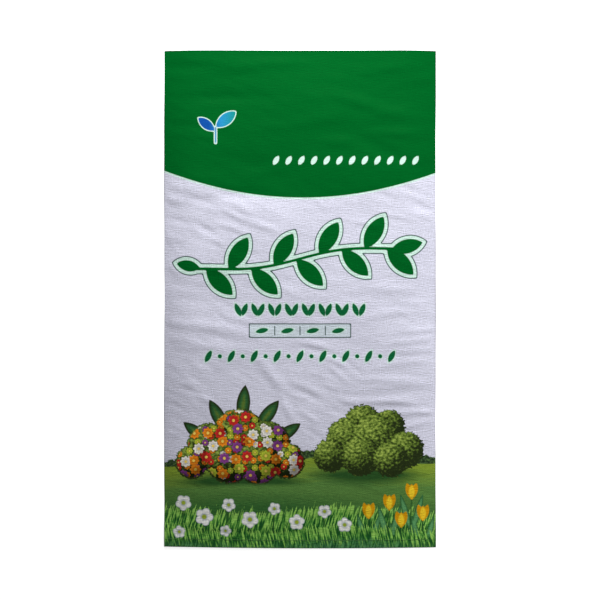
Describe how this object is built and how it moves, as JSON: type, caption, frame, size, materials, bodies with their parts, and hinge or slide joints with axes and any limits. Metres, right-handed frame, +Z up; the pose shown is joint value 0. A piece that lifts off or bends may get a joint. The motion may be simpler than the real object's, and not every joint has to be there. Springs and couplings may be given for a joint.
{
  "type": "woven polypropylene bag",
  "caption": "Empty woven sack pressed flat, open at the mouth and closed at the bottom by a turned hem with a chain stitch, for soil or other loose goods.",
  "frame": {"origin": "on the floor under the middle of the sack", "axes": "+X across the front panel, +Y along the sack towards the mouth, +Z up out of the front panel"},
  "size_m": [0.4998, 0.915, 0.013],
  "materials": {
    "woven_cloth": "woven polypropylene tape with a printed film, satin",
    "sewing_thread": "twisted polyester thread, matt"
  },
  "bodies": {
    "root": {"bag_body": "woven_cloth", "bottom_stitching": "sewing_thread"}
  },
  "joints": []
}
